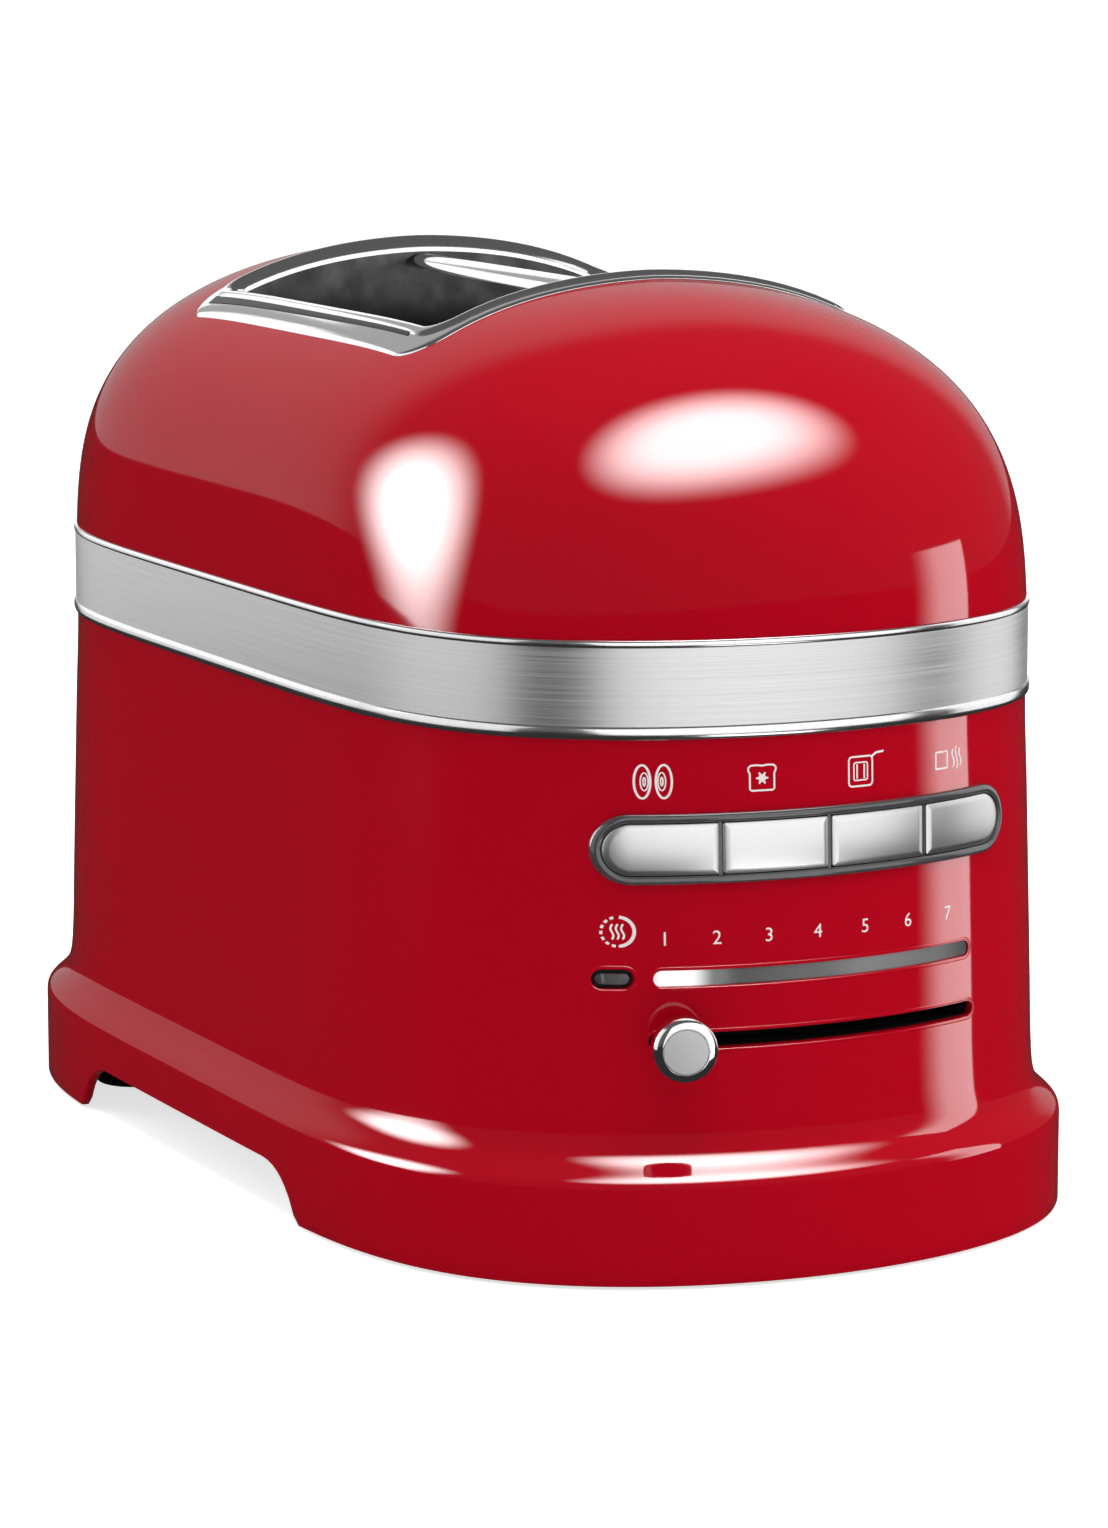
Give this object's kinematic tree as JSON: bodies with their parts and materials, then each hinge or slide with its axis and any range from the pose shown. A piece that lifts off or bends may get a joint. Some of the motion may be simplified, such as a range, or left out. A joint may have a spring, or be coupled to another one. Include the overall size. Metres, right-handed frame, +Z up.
{
  "type": "pop up toaster",
  "caption": "Long domed pop up toaster with two wide bread slots, a motor-driven bread lift, push buttons, a shade slider and a crumb tray.",
  "frame": {"origin": "on the surface the toaster stands on, under the middle of its base", "axes": "+Z up; -Y towards the person facing the controls; +X to that person's right"},
  "size_m": [0.1978, 0.3414, 0.2313],
  "materials": {
    "red_enamel": "deep red gloss coat over die-cast metal",
    "brushed_band": "brushed along the band",
    "polished_frame": "polished",
    "bezel_black": "gloss, dark grey",
    "button_silver": "satin silver",
    "window_smoke": "smoked, lit from behind",
    "lamp_smoke": "smoked",
    "knob_chrome": "spun face with a polished rim",
    "black_plastic": "matt black",
    "circuit_board": "solder mask",
    "white_plastic": "plain",
    "clear_guide": "clear light guide",
    "galvanised": "galvanised sheet",
    "bright_steel": "plain bright",
    "screw_steel": "zinc plated",
    "foot_rubber": "matt",
    "mica": "mica board",
    "guard_wire": "heat-dulled wire",
    "motor_steel": "plated can",
    "gear_brass": "cut",
    "core_steel": "varnished laminations",
    "tray_steel": "plain sheet"
  },
  "bodies": {
    "housing": {"lower_shell": "red_enamel", "upper_shell": "red_enamel", "trim_band": "brushed_band", "slot_frame": "polished_frame", "button_bezel": "bezel_black", "countdown_window": "window_smoke", "keep_warm_lamp": "lamp_smoke", "slider_track": "black_plastic", "shade_resistor": "black_plastic", "control_board": "circuit_board", "button_switches": "black_plastic", "light_guide": "clear_guide", "indicator_leds": "white_plastic", "control_bracket": "galvanised", "board_standoffs": "gear_brass", "board_screws": "screw_steel", "base_plate": "black_plastic", "base_screws": "screw_steel", "cord_gland": "black_plastic", "foot_front_left": "foot_rubber", "foot_front_right": "foot_rubber", "foot_rear_left": "foot_rubber", "foot_rear_right": "foot_rubber", "chassis_front": "galvanised", "chassis_rear": "galvanised", "heat_liner_left": "bright_steel", "heat_liner_right": "bright_steel", "bottom_wires": "guard_wire", "heater_left_outer": "mica", "heater_left_inner": "mica", "heater_right_inner": "mica", "heater_right_outer": "mica", "guide_rods": "bright_steel", "rod_bracket": "galvanised", "lift_gearbox": "black_plastic", "lift_motor": "motor_steel", "motor_stand": "galvanised", "rear_shelf": "galvanised", "transformer": "core_steel", "power_board": "circuit_board", "power_board_posts": "white_plastic", "heater_relay": "black_plastic", "terminal_block": "white_plastic"},
    "button_bagel": {"button_bagel": "button_silver"},
    "button_frozen": {"button_frozen": "button_silver"},
    "button_sandwich": {"button_sandwich": "button_silver"},
    "button_reheat": {"button_reheat": "button_silver"},
    "guard_left_outer": {"guard_left_outer": "guard_wire"},
    "guard_left_inner": {"guard_left_inner": "guard_wire"},
    "guard_right_inner": {"guard_right_inner": "guard_wire"},
    "guard_right_outer": {"guard_right_outer": "guard_wire"},
    "shade_slider": {"shade_knob": "knob_chrome", "knob_stem": "knob_chrome"},
    "bread_lift": {"bread_rack_left": "bright_steel", "bread_rack_right": "bright_steel", "lift_bracket": "galvanised", "gear_rack": "white_plastic"},
    "lift_pinion": {"lift_pinion": "gear_brass"},
    "crumb_tray": {"crumb_tray": "tray_steel", "crumb_tray_handle": "black_plastic"}
  },
  "joints": [
    {"name": "shade_slide", "type": "hinge", "parent": "housing", "child": "shade_slider", "pos_m": [0, -0.04275, 0.058], "axis": [0, 0, 1], "range_deg": [0, 36.2]},
    {"name": "press_bagel", "type": "slide", "parent": "housing", "child": "button_bagel", "axis": [0, 1, 0], "range_m": [0, 0.002], "stiffness_N_per_m": 300},
    {"name": "press_frozen", "type": "slide", "parent": "housing", "child": "button_frozen", "axis": [0, 1, 0], "range_m": [0, 0.002], "stiffness_N_per_m": 300},
    {"name": "press_sandwich", "type": "slide", "parent": "housing", "child": "button_sandwich", "axis": [0, 1, 0], "range_m": [0, 0.002], "stiffness_N_per_m": 300},
    {"name": "press_reheat", "type": "slide", "parent": "housing", "child": "button_reheat", "axis": [0, 1, 0], "range_m": [0, 0.002], "stiffness_N_per_m": 300},
    {"name": "lift", "type": "slide", "parent": "housing", "child": "bread_lift", "axis": [0, 0, 1], "range_m": [-0.062, 0]},
    {"name": "lean_left_outer", "type": "hinge", "parent": "housing", "child": "guard_left_outer", "pos_m": [-0.0515, 0, 0.058], "axis": [0, 1, 0], "range_deg": [0, 5.05]},
    {"name": "lean_left_inner", "type": "hinge", "parent": "housing", "child": "guard_left_inner", "pos_m": [-0.01, 0, 0.058], "axis": [0, 1, 0], "range_deg": [-5.05, 0]},
    {"name": "lean_right_inner", "type": "hinge", "parent": "housing", "child": "guard_right_inner", "pos_m": [0.01, 0, 0.058], "axis": [0, 1, 0], "range_deg": [0, 5.05]},
    {"name": "lean_right_outer", "type": "hinge", "parent": "housing", "child": "guard_right_outer", "pos_m": [0.0515, 0, 0.058], "axis": [0, 1, 0], "range_deg": [-5.05, 0]},
    {"name": "pinion_turn", "type": "hinge", "parent": "housing", "child": "lift_pinion", "pos_m": [0.0132, 0.0875, 0.11], "axis": [0, 1, 0], "range_deg": [-445, 0]},
    {"name": "tray_slide", "type": "slide", "parent": "housing", "child": "crumb_tray", "axis": [0, 1, 0], "range_m": [0, 0.18]}
  ],
  "couplings": [
    {"joint": "lean_left_outer", "follows": "lift", "rad_per_m": -1.4075},
    {"joint": "lean_left_inner", "follows": "lift", "rad_per_m": 1.4075},
    {"joint": "lean_right_inner", "follows": "lift", "rad_per_m": -1.4075},
    {"joint": "lean_right_outer", "follows": "lift", "rad_per_m": 1.4075},
    {"joint": "pinion_turn", "follows": "lift", "rad_per_m": 125}
  ]
}
